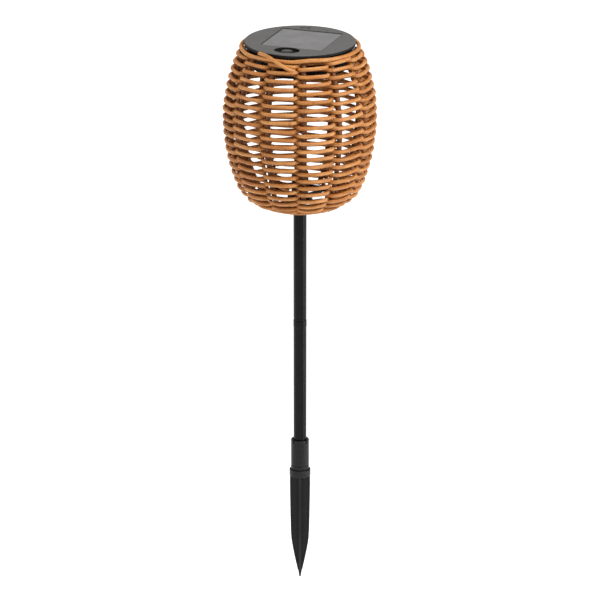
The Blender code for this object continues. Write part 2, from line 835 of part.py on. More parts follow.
def cup_order(profile):
    """The cup's outline from the inside of its floor, up, over the rim and down outside."""
    rim_inner, rim_outer, side, chamfer, axis_low, axis_high, floor = profile
    return [axis_high, floor, rim_inner, rim_outer, side, chamfer, axis_low]


def build_screws():
    for number, (x, y) in enumerate(SCREW_SPOTS):
        low = HOUSING_BOTTOM + 0.0001
        profile = [
            (0.0, low + 0.0120),
            (0.0006, low + 0.0120),
            (0.0013, low + 0.0105),
            (0.0013, low + 0.0014),
            (0.0026, low + 0.0014),
            (0.0026, low + 0.0004),
            (0.0022, low),
            (0.0, low),
        ]
        screw = turned(
            f"lid_screw_{number + 1}", profile, STEEL, LAMP, (x, y, 0), steps=12, closed=False
        )
        for angle in (0, math.pi / 2):
            slot = add_cutter(
                f"screw_slot_{number}_{'ab'[angle > 0]}",
                box_mesh(f"screw_slot_{number}", 0.0030, 0.0006, 0.0014),
                (x, y, low),
            )
            slot.rotation_euler = (0, 0, angle)
            boolean(screw, slot)


def build_electronics():
    add_piece(
        "circuit_board",
        box_mesh("circuit_board", 0.0320, 0.0480, BOARD_TOP - BOARD_BOTTOM),
        BOARD_GREEN,
        LAMP,
        (0, -0.0160, (BOARD_TOP + BOARD_BOTTOM) / 2),
    )
    add_piece(
        "driver_chip",
        box_mesh("driver_chip", 0.0050, 0.0060, 0.0016),
        CHIP_BLACK,
        LAMP,
        (-0.0020, -0.0060, BOARD_TOP + GAP + 0.0008),
    )
    switch_top = CAP_TOP - 0.0003 - 0.0085 - BUTTON_TRAVEL - GAP
    base = BOARD_TOP + GAP
    case_top = base + 0.0030
    case = add_piece(
        "tact_switch",
        box_mesh("tact_switch", 0.0060, 0.0060, case_top - base),
        CHIP_BLACK,
        LAMP,
        (0, -BUTTON_SHIFT, (case_top + base) / 2),
    )
    plunger = add_cutter(
        "switch_plunger",
        cylinder_mesh("switch_plunger", 0.0017, switch_top - case_top + 0.0005, 10),
        (0, -BUTTON_SHIFT, (switch_top + case_top - 0.0005) / 2),
    )
    boolean(case, plunger, "UNION")

    half = BATTERY_DIAMETER / 2
    end = BATTERY_LENGTH / 2
    cell = [
        (0.0, end),
        (0.0027, end),
        (0.0027, end - 0.0010),
        (half - 0.0006, end - 0.0010),
        (half, end - 0.0016),
        (half, -end + 0.0006),
        (half - 0.0006, -end),
        (0.0, -end),
    ]
    battery = turned(
        "battery_cell", cell, CELL_WRAP, LAMP, (0, BATTERY_Y, BATTERY_Z), steps=24, closed=False
    )
    battery.rotation_euler = (0, math.pi / 2, 0)
    add_piece(
        "contact_plate",
        box_mesh("contact_plate", 0.0005, 0.0090, 0.0090),
        STEEL,
        LAMP,
        (end + 0.0003 + 0.0004, BATTERY_Y, BATTERY_Z),
    )
    turns = 3.5
    per_turn = 10
    coil = []
    count = int(turns * per_turn)
    for i in range(count + 1):
        share = i / count
        angle = math.tau * turns * share
        radius = 0.0026 + 0.0018 * share
        x = -end - 0.0008 - 0.0036 * share
        coil.append((x, radius * math.cos(angle), radius * math.sin(angle)))
    spring = wire_curve("contact_spring", coil, 0.0004, 1)
    add_piece("contact_spring", spring, STEEL, LAMP, (0, BATTERY_Y, BATTERY_Z))

    led_top = BOARD_BOTTOM - GAP
    led = [
        (0.0, led_top),
        (0.0029, led_top),
        (0.0029, led_top - 0.0010),
        (0.0025, led_top - 0.0010),
        (0.0025, led_top - 0.0042),
        (0.0021, led_top - 0.0055),
        (0.0012, led_top - 0.0064),
        (0.0, led_top - 0.0067),
    ]
    turned("led_emitter", led, LED_BODY, LAMP, steps=12, closed=False)
    build_lens()


def build_lens():
    wall = 0.0012
    dome_centre = HOUSING_BOTTOM - 0.0008
    outer = LENS_RADIUS
    inner = outer - wall
    profile = [(inner, FLOOR_TOP + GAP + 0.0010), (outer + 0.0025, FLOOR_TOP + GAP + 0.0010)]
    profile.append((outer + 0.0025, FLOOR_TOP + GAP))
    profile.append((outer, FLOOR_TOP + GAP))
    for i in range(5):
        angle = math.pi / 2 * i / 4
        point = (outer * math.cos(angle), dome_centre - outer * 0.75 * math.sin(angle))
        profile.append((point[0] if i < 4 else 0.0, point[1]))
    for i in range(5):
        angle = math.pi / 2 * (4 - i) / 4
        point = (inner * math.cos(angle), dome_centre - (outer * 0.75 - wall) * math.sin(angle))
        profile.append((point[0] if i > 0 else 0.0, point[1]))
    split = next(i for i, (r, z) in enumerate(profile) if r == 0.0)
    ordered = profile[split + 1 :] + profile[: split + 1]
    turned("led_lens", ordered, FROSTED, LAMP, steps=20, closed=False)


def build_leads():
    over = POCKET_FLOOR + 0.0001
    for (x, y), name, look in zip(
        LEAD_SPOTS, ("panel_lead_negative", "panel_lead_positive"), (BLACK_WIRE, RED_WIRE)
    ):
        stops = [
            (x, y, over),
            (x, y, over - 0.0030),
            (x * 1.15, y - 0.0040, over - 0.0075),
            (x * 1.1, y - 0.0060, BOARD_TOP + GAP),
        ]
        curve = wire_curve(name, smooth_route(stops, 4), 0.0006, 1)
        add_piece(name, curve, look, LAMP)
    end = BATTERY_LENGTH / 2
    plate_top = BATTERY_Z + 0.0045 + GAP
    positive = [
        (0.0130, 0.0050, BOARD_TOP + GAP),
        (0.0132, 0.0060, BOARD_TOP + 0.0060),
        (0.0190, 0.0100, plate_top + 0.0042),
        (end + 0.0007, 0.0160, plate_top + 0.0030),
        (end + 0.0007, 0.0185, plate_top + 0.0007),
    ]
    negative = [
        (-0.0130, 0.0050, BOARD_TOP + GAP),
        (-0.0132, 0.0060, BOARD_TOP + 0.0060),
        (-0.0210, 0.0100, plate_top + 0.0042),
        (-end - 0.0035, 0.0160, plate_top + 0.0036),
        (-end - 0.0043, 0.0190, plate_top + 0.0013),
    ]
    add_piece(
        "battery_lead_positive",
        wire_curve("battery_lead_positive", smooth_route(positive, 4), 0.0006, 1),
        RED_WIRE,
        LAMP,
    )
    add_piece(
        "battery_lead_negative",
        wire_curve("battery_lead_negative", smooth_route(negative, 4), 0.0006, 1),
        BLACK_WIRE,
        LAMP,
    )


# ---------------------------------------------------------------- moving pieces of the lamp
def build_button():
    radius = BUTTON_DIAMETER / 2
    top = CAP_TOP - 0.0003
    flange_top = LID_UNDERSIDE - 0.0033 - GAP
    flange_low = flange_top - 0.0010
    profile = [(0.0, top)]
    for i in range(1, 5):
        share = i / 4
        profile.append((radius * math.sin(share * math.pi / 2), top - 0.0009 * share**3))
    profile += [
        (radius, flange_top),
        (radius + 0.0013, flange_top),
        (radius + 0.0013, flange_low),
        (0.0022, flange_low),
        (0.0022, top - 0.0085),
        (0.0, top - 0.0085),
    ]
    local = [(r, z - CAP_TOP) for r, z in profile]
    turned(
        "power_button",
        local,
        BLACK_PLASTIC,
        BUTTON,
        (0, -BUTTON_SHIFT, CAP_TOP),
        steps=24,
        closed=False,
    )


def build_door():
    mid_x = (BAY_LEFT + BAY_RIGHT) / 2
    near = DOOR_HINGE_Y - 0.0021
    far = BAY_FRONT - 0.0014
    plate_mid = HOUSING_BOTTOM + 0.0005
    door = add_piece(
        "battery_door",
        box_mesh("battery_door", 0.0618, near - far, 0.0011),
        BLACK_PLASTIC,
        DOOR,
        (0, DOOR_HINGE_Y, DOOR_HINGE_Z),
    )
    door.data.transform(
        Matrix.Translation((mid_x, (near + far) / 2 - DOOR_HINGE_Y, plate_mid - DOOR_HINGE_Z))
    )
    tongue = add_cutter(
        "door_tongue",
        box_mesh("door_tongue", 0.0244, 0.0024, 0.0009),
        (0, DOOR_HINGE_Y - 0.0014, plate_mid),
    )
    boolean(door, tongue, "UNION")
    barrel = cylinder_mesh("door_barrel", 0.0013, 0.0248, 16)
    barrel.transform(Matrix.Rotation(math.pi / 2, 4, "Y"))
    boolean(door, add_cutter("door_barrel", barrel, (0, DOOR_HINGE_Y, DOOR_HINGE_Z)), "UNION")
    bore = cylinder_mesh("barrel_bore", 0.0008, 0.0300, 12)
    bore.transform(Matrix.Rotation(math.pi / 2, 4, "Y"))
    boolean(door, add_cutter("barrel_bore", bore, (0, DOOR_HINGE_Y, DOOR_HINGE_Z)))
    for number in range(3):
        grip = add_cutter(
            f"door_grip_{number}",
            box_mesh(f"door_grip_{number}", 0.0100, 0.0006, 0.0006),
            (mid_x, far + 0.0022 + 0.0014 * number, HOUSING_BOTTOM),
        )
        boolean(door, grip)
    pin = cylinder_mesh("hinge_pin", 0.0005, 0.0300, 12)
    pin.transform(Matrix.Rotation(math.pi / 2, 4, "Y"))
    add_piece("hinge_pin", pin, STEEL, LAMP, (0, DOOR_HINGE_Y, DOOR_HINGE_Z))


build_spike()
build_collar()
build_pole()
build_woven_shade()
build_shade_frame()
build_cap_lid()
build_panel()
build_housing()
build_screws()
build_electronics()
build_leads()
build_button()
build_door()
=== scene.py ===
import math

import bmesh
import bpy
import numpy as np
from mathutils import Matrix, Vector


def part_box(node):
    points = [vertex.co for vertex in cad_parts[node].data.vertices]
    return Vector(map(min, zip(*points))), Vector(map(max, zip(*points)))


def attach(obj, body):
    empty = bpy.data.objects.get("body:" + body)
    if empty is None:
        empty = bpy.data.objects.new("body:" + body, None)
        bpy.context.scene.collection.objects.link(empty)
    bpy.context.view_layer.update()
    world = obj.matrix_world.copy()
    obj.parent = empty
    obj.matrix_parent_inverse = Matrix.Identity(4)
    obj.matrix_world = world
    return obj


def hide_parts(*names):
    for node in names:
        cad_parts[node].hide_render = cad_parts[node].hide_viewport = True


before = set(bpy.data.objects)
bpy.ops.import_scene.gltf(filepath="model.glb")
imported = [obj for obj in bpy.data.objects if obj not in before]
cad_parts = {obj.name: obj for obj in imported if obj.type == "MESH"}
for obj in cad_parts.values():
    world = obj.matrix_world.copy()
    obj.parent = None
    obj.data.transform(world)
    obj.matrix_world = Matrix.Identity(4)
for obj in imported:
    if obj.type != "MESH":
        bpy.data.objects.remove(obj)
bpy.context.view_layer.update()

# ---------------------------------------------------------------- camera, floor and light
AIM = Vector((0.0, 0.0, 0.1823))
VIEW_AZIMUTH = math.radians(20)
VIEW_PITCH = math.radians(20)
VIEW_DISTANCE = 3.5


def around(radius, azimuth, height=0.0):
    """A point at an azimuth measured from -Y toward +X."""
    return Vector((radius * math.sin(azimuth), -radius * math.cos(azimuth), height))


def make_camera():
    lens = bpy.data.cameras.new("view_camera")
    lens.sensor_width = 36.0
    lens.lens = 218.0
    lens.clip_end = 50.0
    lens.dof.use_dof = False
    camera = bpy.data.objects.new("view_camera", lens)
    bpy.context.scene.collection.objects.link(camera)
    back = around(math.cos(VIEW_PITCH), VIEW_AZIMUTH, math.sin(VIEW_PITCH))
    camera.location = AIM + back * VIEW_DISTANCE
    camera.rotation_euler = back.to_track_quat("Z", "Y").to_euler()
    bpy.context.scene.camera = camera


def soft_light(name, azimuth, elevation, distance, size, watts, tall=1.0):
    lamp = bpy.data.lights.new(name, "AREA")
    lamp.shape = "ELLIPSE"
    lamp.size = size
    lamp.size_y = size * tall
    lamp.energy = watts
    holder = bpy.data.objects.new(name, lamp)
    bpy.context.scene.collection.objects.link(holder)
    azimuth, elevation = math.radians(azimuth), math.radians(elevation)
    back = around(math.cos(elevation), azimuth, math.sin(elevation))
    holder.location = AIM + Vector((0, 0, 0.15)) + back * distance
    holder.rotation_euler = back.to_track_quat("Z", "Y").to_euler()


def make_world():
    world = bpy.data.worlds.new("studio")
    world.use_nodes = True
    sky = world.node_tree.nodes["Background"]
    sky.inputs["Color"].default_value = (1.0, 1.0, 1.0, 1.0)
    sky.inputs["Strength"].default_value = 0.50
    bpy.context.scene.world = world
    bpy.context.scene.view_settings.view_transform = "Standard"


def make_floor():
    mesh = bpy.data.meshes.new("studio_floor")
    sheet = bmesh.new()
    bmesh.ops.create_grid(sheet, x_segments=1, y_segments=1, size=14.0)
    sheet.to_mesh(mesh)
    sheet.free()
    floor = bpy.data.objects.new("studio_floor", mesh)
    floor.location = (0, 0, -0.9)
    bpy.context.scene.collection.objects.link(floor)
    pale = bpy.data.materials.new("pale_floor")
    pale.use_nodes = True
    shader = pale.node_tree.nodes["Principled BSDF"]
    shader.inputs["Base Color"].default_value = (0.93, 0.93, 0.93, 1.0)
    shader.inputs["Roughness"].default_value = 0.9
    shader.inputs["Emission Color"].default_value = (1.0, 1.0, 1.0, 1.0)
    shader.inputs["Emission Strength"].default_value = 0.75
    mesh.materials.append(pale)


make_camera()
make_world()
make_floor()
soft_light("key_light", 78, 38, 1.9, 0.7, 31.0)
soft_light("fill_light", -60, 30, 2.2, 1.0, 14.0)
soft_light("top_light", 10, 80, 1.8, 0.9, 9.0)
soft_light("edge_light", 94, -18, 1.3, 0.16, 3.0, tall=5.0)


# ---------------------------------------------------------------- shader arithmetic
class Value:
    """A shader socket that takes part in ordinary arithmetic."""

    def __init__(self, tree, socket):
        self.tree = tree
        self.socket = socket

    def _math(self, operation, first, second):
        node = self.tree.nodes.new("ShaderNodeMath")
        node.operation = operation
        for slot, given in zip(node.inputs, (first, second)):
            plug(self.tree, slot, given)
        return Value(self.tree, node.outputs[0])

    def __add__(self, other):
        return self._math("ADD", self, other)

    def __radd__(self, other):
        return self._math("ADD", other, self)

    def __sub__(self, other):
        return self._math("SUBTRACT", self, other)

    def __rsub__(self, other):
        return self._math("SUBTRACT", other, self)

    def __mul__(self, other):
        return self._math("MULTIPLY", self, other)

    def __rmul__(self, other):
        return self._math("MULTIPLY", other, self)

    def __truediv__(self, other):
        return self._math("DIVIDE", self, other)

    def __rtruediv__(self, other):
        return self._math("DIVIDE", other, self)

    def __pow__(self, other):
        return self._math("POWER", self, other)


def plug(tree, slot, given):
    """Links a Value to an input, or sets a constant on it."""
    if isinstance(given, Value):
        tree.links.new(given.socket, slot)
    elif isinstance(given, (tuple, list, Vector)) and slot.type == "RGBA":
        slot.default_value = (*given[:3], 1.0)
    else:
        slot.default_value = given


def srgb(red, green, blue):
    """Linear colour of an 8-bit display colour."""
    shares = (c / 255 for c in (red, green, blue))
    return tuple(c / 12.92 if c <= 0.04045 else ((c + 0.055) / 1.055) ** 2.4 for c in shares)


class Look:
    """One procedural material built round a Principled BSDF."""

    def __init__(self, name, **constants):
        self.material = bpy.data.materials.new(name)
        self.material.use_nodes = True
        self.tree = self.material.node_tree
        self.shader = self.tree.nodes["Principled BSDF"]
        self.set(**constants)

    def set(self, **inputs):
        """Inputs by name, with underscores for spaces."""
        for name, given in inputs.items():
            plug(self.tree, self.shader.inputs[name.replace("_", " ")], given)

    def node(self, kind, output, settings=None, **inputs):
        made = self.tree.nodes.new("ShaderNode" + kind)
        for name, given in (settings or {}).items():
            setattr(made, name, given)
        for name, given in inputs.items():
            plug(self.tree, made.inputs[name.replace("_", " ")], given)
        return Value(self.tree, made.outputs[output])

    def position(self):
        return self.node("TexCoord", "Object")

    def stretch(self, vector, scale):
        return self.node("Mapping", "Vector", Vector=vector, Scale=scale)

    def noise(self, vector, scale, detail=3.0, roughness=0.55):
        return self.node(
            "TexNoise", "Fac", Vector=vector, Scale=scale, Detail=detail, Roughness=roughness
        )

    def span(self, value, low, high, out_low=0.0, out_high=1.0):
        made = self.tree.nodes.new("ShaderNodeMapRange")
        made.interpolation_type = "SMOOTHSTEP"
        for slot, given in zip(made.inputs, (value, low, high, out_low, out_high)):
            plug(self.tree, slot, given)
        return Value(self.tree, made.outputs[0])

    def blend(self, factor, first, second):
        made = self.tree.nodes.new("ShaderNodeMix")
        made.data_type = "RGBA"
        plug(self.tree, made.inputs[0], factor)
        plug(self.tree, made.inputs[6], first)
        plug(self.tree, made.inputs[7], second)
        return Value(self.tree, made.outputs[2])

    def bump(self, height, distance, strength=1.0):
        self.set(
            Normal=self.node("Bump", "Normal", Height=height, Distance=distance, Strength=strength)
        )


# ---------------------------------------------------------------- materials
def rattan_look(name, dark, middle, light, seed):
    look = Look(name, Specular_IOR_Level=0.35)
    grain = look.node("Attribute", "Vector", {"attribute_name": "grain"})
    place = look.position()
    fibre = look.noise(look.stretch(grain, (1.0, 1.0, 0.045)), 2600.0 + seed, 4.0, 0.6)
    cloud = look.noise(look.stretch(grain, (1.0, 1.0, 0.5)), 90.0 + seed, 3.0, 0.55)
    broad = look.noise(place, 26.0 + seed, 2.0, 0.5)
    knots = look.noise(look.stretch(grain, (0.4, 0.4, 1.0)), 150.0 + seed, 1.0, 0.4)
    tone = look.span(cloud * 0.6 + broad * 0.4, 0.36, 0.64)
    colour = look.blend(tone, middle, light)
    colour = look.blend(look.span(fibre, 0.42, 0.64, 0.50, 0.0), colour, dark)
    colour = look.blend(look.span(knots, 0.66, 0.76, 0.0, 0.45), colour, dark)
    look.set(Base_Color=colour, Roughness=look.span(fibre, 0.3, 0.7, 0.62, 0.42))
    look.bump(fibre * 0.7 + cloud * 0.3, 0.00025, 0.7)
    return look.material


def moulded_look(name, colour, lighter, roughness, speckle=900.0, depth=0.00004, painted_shade_below=None):
    """Moulded plastic with a fine spark-eroded grain and faint handling marks, and, when a height is
    given, painted shade that turns it near black below that height.
    """
    look = Look(name, Specular_IOR_Level=0.20)
    place = look.position()
    grain = look.noise(place, speckle, 2.0, 0.6)
    cloud = look.noise(place, 45.0, 4.0, 0.6)
    scuff = look.noise(look.stretch(place, (1.0, 1.0, 0.15)), 420.0, 3.0, 0.7)
    marks = look.span(scuff, 0.60, 0.74, 0.0, 0.5)
    tone = look.span(cloud, 0.35, 0.68)
    colour = look.blend(marks * 0.35 + tone * 0.5, colour, lighter)
    # painted shade: below the given height, on the recess walls and floor, the colour goes to near
    # black
    if painted_shade_below:
        height = look.node("SeparateXYZ", "Z", Vector=place)
        recess_shade = look.span(height, painted_shade_below - 0.0003, painted_shade_below, 1.0, 0.0)
        colour = look.blend(recess_shade, colour, srgb(20, 20, 21))
    look.set(
        Base_Color=colour,
        Roughness=look.span(cloud * 0.6 + grain * 0.4, 0.3, 0.7, roughness - 0.07, roughness + 0.08),
    )
    look.bump(grain, depth, 0.6)
    return look.material


def painted_look(name, colour, lighter, roughness):
    """Sprayed paint on steel tube: slight orange peel and long faint draw marks."""
    look = Look(name, Specular_IOR_Level=0.12)
    place = look.position()
    peel = look.noise(place, 700.0, 2.0, 0.5)
    draw = look.noise(look.stretch(place, (1.0, 1.0, 0.03)), 900.0, 2.0, 0.5)
    cloud = look.noise(place, 38.0, 3.0, 0.6)
    look.set(
        Base_Color=look.blend(look.span(cloud, 0.35, 0.7), colour, lighter),
        Roughness=look.span(draw * 0.5 + cloud * 0.5, 0.35, 0.65, roughness - 0.05, roughness + 0.07),
        Coat_Weight=look.span(cloud, 0.3, 0.7, 0.0, 0.03),
    )
    look.bump(peel * 0.8 + draw * 0.2, 0.00003, 0.5)
    return look.material


def panel_look(name):
    """A resin-faced solar cell: pale film over fine busbars."""
    look = Look(name, Specular_IOR_Level=0.5)
    place = look.position()
    across = look.node("SeparateXYZ", "X", Vector=place)
    stripe = look.node("Math", "Value", {"operation": "PINGPONG"})
    pingpong = stripe.socket.node
    plug(look.tree, pingpong.inputs[0], across)
    pingpong.inputs[1].default_value = 0.00495
    line = look.span(stripe, 0.0, 0.00028, 1.0, 0.0)
    cloud = look.noise(place, 60.0, 3.0, 0.5)
    base = look.blend(look.span(cloud, 0.35, 0.65), srgb(98, 96, 97), srgb(109, 107, 108))
    look.set(
        Base_Color=look.blend(line * 0.12, base, srgb(176, 174, 172)),
        Roughness=look.span(cloud, 0.3, 0.7, 0.32, 0.44),
        Coat_Weight=look.span(cloud, 0.3, 0.7, 0.15, 0.3),
    )
    look.bump(cloud, 0.00004, 0.4)
    return look.material


def metal_look(name, colour, roughness):
    look = Look(name, Metallic=1.0)
    place = look.position()
    brushed = look.noise(look.stretch(place, (1.0, 0.12, 1.0)), 1600.0, 3.0, 0.6)
    stain = look.noise(place, 220.0, 3.0, 0.6)
    darker = tuple(c * 0.72 for c in colour)
    look.set(
        Base_Color=look.blend(look.span(stain, 0.4, 0.7), colour, darker),
        Roughness=look.span(brushed, 0.3, 0.7, roughness - 0.06, roughness + 0.12),
    )
    look.bump(brushed, 0.00002, 0.5)
    return look.material


def smooth_look(name, colour, lighter, roughness, scale=300.0):
    """Small glossy or matt trim with a little mottling."""
    look = Look(name)
    place = look.position()
    cloud = look.noise(place, scale, 3.0, 0.55)
    look.set(
        Base_Color=look.blend(look.span(cloud, 0.35, 0.7), colour, lighter),
        Roughness=look.span(cloud, 0.3, 0.7, roughness - 0.05, roughness + 0.06),
    )
    look.bump(cloud, 0.00003, 0.4)
    return look.material


RATTAN_A = rattan_look("rattan_warm", srgb(112, 58, 12), srgb(190, 124, 58), srgb(212, 152, 90), 0)
RATTAN_B = rattan_look("rattan_honey", srgb(106, 54, 10), srgb(182, 116, 52), srgb(204, 142, 80), 31)
# the stake canes get a much darker brown than the strands: painted shade for canes that sit in the
# weave's shadow
STAKE_CANE_PAINTED_SHADE = rattan_look("stake_cane", srgb(62, 32, 12), srgb(122, 72, 34), srgb(150, 94, 50), 57)
BLACK_MOULDED = moulded_look("black_moulded", srgb(20, 20, 21), srgb(34, 34, 35), 0.44)
BLACK_SPIKE = moulded_look("spike_moulded", srgb(18, 18, 19), srgb(36, 36, 37), 0.42, 700.0)
BLACK_TUBE = painted_look("tube_paint", srgb(9, 9, 9), srgb(15, 14, 14), 0.22)
# the lid's recess below 441.4 mm is painted near black as shade
GREY_LID = moulded_look("grey_lid", srgb(84, 83, 82), srgb(96, 95, 93), 0.50, 1100.0, painted_shade_below=0.4414)
PANEL = panel_look("solar_film")
STEEL = metal_look("plated_steel", (0.62, 0.61, 0.58), 0.30)
BUTTON_GLOSS = smooth_look("button_gloss", srgb(18, 18, 19), srgb(26, 26, 27), 0.20)
RUBBER = smooth_look("black_rubber", srgb(28, 28, 28), srgb(42, 42, 42), 0.72)
BOARD = smooth_look("board_mask", srgb(18, 92, 44), srgb(26, 112, 56), 0.38, 500.0)
CHIP = smooth_look("chip_epoxy", srgb(24, 24, 25), srgb(38, 38, 40), 0.50, 900.0)
WRAP = smooth_look("cell_wrap", srgb(38, 96, 158), srgb(52, 112, 172), 0.30)
FROSTED = smooth_look("frosted_lens", srgb(232, 229, 218), srgb(240, 238, 230), 0.42)
LED_BODY = smooth_look("led_resin", srgb(228, 212, 140), srgb(238, 226, 168), 0.18)
RED_WIRE = smooth_look("red_insulation", srgb(164, 22, 22), srgb(184, 34, 30), 0.42)
BLACK_WIRE = smooth_look("black_insulation", srgb(22, 22, 23), srgb(34, 34, 35), 0.42)

NODE_LOOKS = {
    "ground_spike": BLACK_SPIKE,
    "spike_collar": BLACK_MOULDED,
    "lower_tube": BLACK_TUBE,
    "upper_tube": BLACK_TUBE,
    "pole_ferrule": BLACK_MOULDED,
    "tube_plug": BLACK_MOULDED,
    "pole_socket": BLACK_MOULDED,
    "base_spider": BLACK_TUBE,
    "bottom_ring": BLACK_TUBE,
    "top_ring": BLACK_TUBE,
    "cap_lid": GREY_LID,
    "lamp_housing": BLACK_MOULDED,
    "power_button": BUTTON_GLOSS,
    "battery_door": BLACK_MOULDED,
    "solar_panel": PANEL,
    "panel_gasket": RUBBER,
    "seal_ring": RUBBER,
    "circuit_board": BOARD,
    "driver_chip": CHIP,
    "tact_switch": CHIP,
    "battery_cell": WRAP,
    "contact_plate": STEEL,
    "contact_spring": STEEL,
    "hinge_pin": STEEL,
    "lid_screw_1": STEEL,
    "lid_screw_2": STEEL,
    "lid_screw_3": STEEL,
    "led_emitter": LED_BODY,
    "led_lens": FROSTED,
    "panel_lead_negative": BLACK_WIRE,
    "battery_lead_negative": BLACK_WIRE,
    "panel_lead_positive": RED_WIRE,
    "battery_lead_positive": RED_WIRE,
}


def dress_cad_nodes():
    for name, look in NODE_LOOKS.items():
        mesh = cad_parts[name].data
        mesh.materials.clear()
        mesh.materials.append(look)
        mesh.shade_smooth()
        mesh.set_sharp_from_angle(angle=math.radians(28))


# ---------------------------------------------------------------- shade outline
SHADE_BOTTOM = 0.2815
SHADE_HEIGHT = 0.1575
FOOT_RADIUS = 0.0400
FULL_RADIUS = 0.0740
MOUTH_RADIUS = 0.0566
WIDEST = 0.56
STAKES = 12
STAKE_STEP = math.tau / STAKES
FIRST_STAKE = math.radians(23.5)
STAKE_INSET = 0.0070
STAKE_RADIUS = 0.0024
STRAND_RADIUS = 0.00182
ROWS = 43
ROW_TILT = 0.45  # how far the rows climb toward the front and drop toward the back, in rows
HOUSING_RADIUS = 0.0460


def outline_radius(share):
    if share < WIDEST:
        run = 1 - share / WIDEST
        return FULL_RADIUS - (FULL_RADIUS - FOOT_RADIUS) * (0.63 * run**2 + 0.37 * run**13)
    run = (share - WIDEST) / (1 - WIDEST)
    return FULL_RADIUS - (FULL_RADIUS - MOUTH_RADIUS) * run**1.85


class Outline:
    """The shade's outer surface by its length from the foot, with outward normals."""

    def __init__(self):
        shares = np.linspace(0.0, 1.0, 801)
        self.radius = np.array([outline_radius(s) for s in shares])
        self.height = SHADE_BOTTOM + SHADE_HEIGHT * shares
        steps = np.hypot(np.diff(self.radius), np.diff(self.height))
        self.length = np.concatenate([[0.0], np.cumsum(steps)])
        span = 12
        left = np.clip(np.arange(801) - span, 0, 800)
        right = np.clip(np.arange(801) + span, 0, 800)
        dr = self.radius[right] - self.radius[left]
        dz = self.height[right] - self.height[left]
        size = np.hypot(dr, dz)
        self.normal_r = dz / size
        self.normal_z = -dr / size

    def at(self, share, depth):
        """Radius and height at a share of the outline's length, a depth below the surface."""
        want = share * self.length[-1]
        radius = np.interp(want, self.length, self.radius)
        height = np.interp(want, self.length, self.height)
        normal_r = np.interp(want, self.length, self.normal_r)
        normal_z = np.interp(want, self.length, self.normal_z)
        return radius - normal_r * depth, height - normal_z * depth


OUTLINE = Outline()


# ---------------------------------------------------------------- sweeping strands
def smoothstep(x):
    x = np.clip(x, 0.0, 1.0)
    return x * x * (3 - 2 * x)


def wander(rng, count, per_point, amount):
    """A smooth random run of values, one knot every per_point samples."""
    knots = rng.normal(0.0, amount, count // per_point + 4)
    place = np.arange(count) / per_point
    index = place.astype(int)
    share = smoothstep(place - index)
    return knots[index] * (1 - share) + knots[index + 1] * share


def sweep(name, path, radius, look, body, sides=10, grain_shift=0.0):
    """A round strand along a path, its ends closed to a dome; radius may vary."""
    path = np.asarray(path, float)
    count = len(path)
    radius = np.broadcast_to(np.asarray(radius, float), (count,)).copy()
    tangent = np.gradient(path, axis=0)
    tangent /= np.linalg.norm(tangent, axis=1)[:, None]
    side = np.zeros_like(path)
    start = np.cross(tangent[0], (0.0, 0.0, 1.0))
    if np.linalg.norm(start) < 1e-3:
        start = np.cross(tangent[0], (1.0, 0.0, 0.0))
    side[0] = start / np.linalg.norm(start)
    for i in range(1, count):
        turned = side[i - 1] - tangent[i] * np.dot(side[i - 1], tangent[i])
        side[i] = turned / np.linalg.norm(turned)
    over = np.cross(tangent, side)
    along = np.concatenate([[0.0], np.cumsum(np.linalg.norm(np.diff(path, axis=0), axis=1))])
    angles = np.arange(sides) / sides * math.tau
    ring = side[:, None] * np.cos(angles)[None, :, None]
    ring = ring + over[:, None] * np.sin(angles)[None, :, None]
    points = path[:, None] + ring * radius[:, None, None]
    verts = points.reshape(-1, 3)
    grain = np.zeros((count, sides, 3))
    grain[:, :, 0] = np.cos(angles)[None] * radius[:, None] + grain_shift
    grain[:, :, 1] = np.sin(angles)[None] * radius[:, None]
    grain[:, :, 2] = along[:, None] + grain_shift * 7
    caps = np.array(
        [
            path[0] - tangent[0] * radius[0] * 0.45,
            path[-1] + tangent[-1] * radius[-1] * 0.45,
        ]
    )
    verts = np.concatenate([verts, caps])
    grain = np.concatenate([grain.reshape(-1, 3), grain[[0, -1], 0]])
    faces = []
    for i in range(count - 1):
        a = i * sides
        b = a + sides
        for k in range(sides):
            n = (k + 1) % sides
            faces.append((a + k, a + n, b + n, b + k))
    first, last = count * sides, count * sides + 1
    end = (count - 1) * sides
    for k in range(sides):
        n = (k + 1) % sides
        faces.append((first, n, k))
        faces.append((last, end + k, end + n))
    mesh = bpy.data.meshes.new(name)
    mesh.from_pydata([tuple(v) for v in verts], [], faces)
    attribute = mesh.attributes.new("grain", "FLOAT_VECTOR", "POINT")
    attribute.data.foreach_set("vector", grain.astype(np.float32).ravel())
    mesh.shade_smooth()
    mesh.materials.append(look)
    piece = bpy.data.objects.new(name, mesh)
    bpy.context.scene.collection.objects.link(piece)
    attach(piece, body)
    return piece


# ---------------------------------------------------------------- woven strands
CROSSING = -0.19  # where a strand changes side, in stake steps before a stake
CROSS_HALF = 0.125  # half the stretch over which it crosses
PER_PANEL = 14  # points of a strand between two stakes
FIRST_ROW = 0.55
LAST_ROW = 41.9
WEAVER_LENGTHS = 5  # lengths of cane that make up each of the two strands
OUTER_DEPTH = 0.0032  # a strand's centre below the outline where it passes outside a stake
OUTER_RISE = 0.0014
INNER_REACH = 0.0073  # from there to where it passes inside a stake
INNER_BULGE = 0.0026
HOUSING_FOOT = 0.410  # above this height strands keep clear of the lamp housing


def strand_sides(steps, parity):
    """How far a strand lies inside the stakes, 0 to 1, and its arch between two stakes."""
    local = steps - CROSSING
    cell = np.floor(local).astype(int)
    share = local - cell
    inside = ((cell + parity) % 2).astype(float)
    near_start = smoothstep(0.5 + share / (2 * CROSS_HALF))
    near_end = smoothstep(0.5 + (share - 1) / (2 * CROSS_HALF))
    was = 1 - inside
    side = np.where(share < 0.5, was + (inside - was) * near_start, inside + (was - inside) * near_end)
    return side, np.sin(math.pi * share)


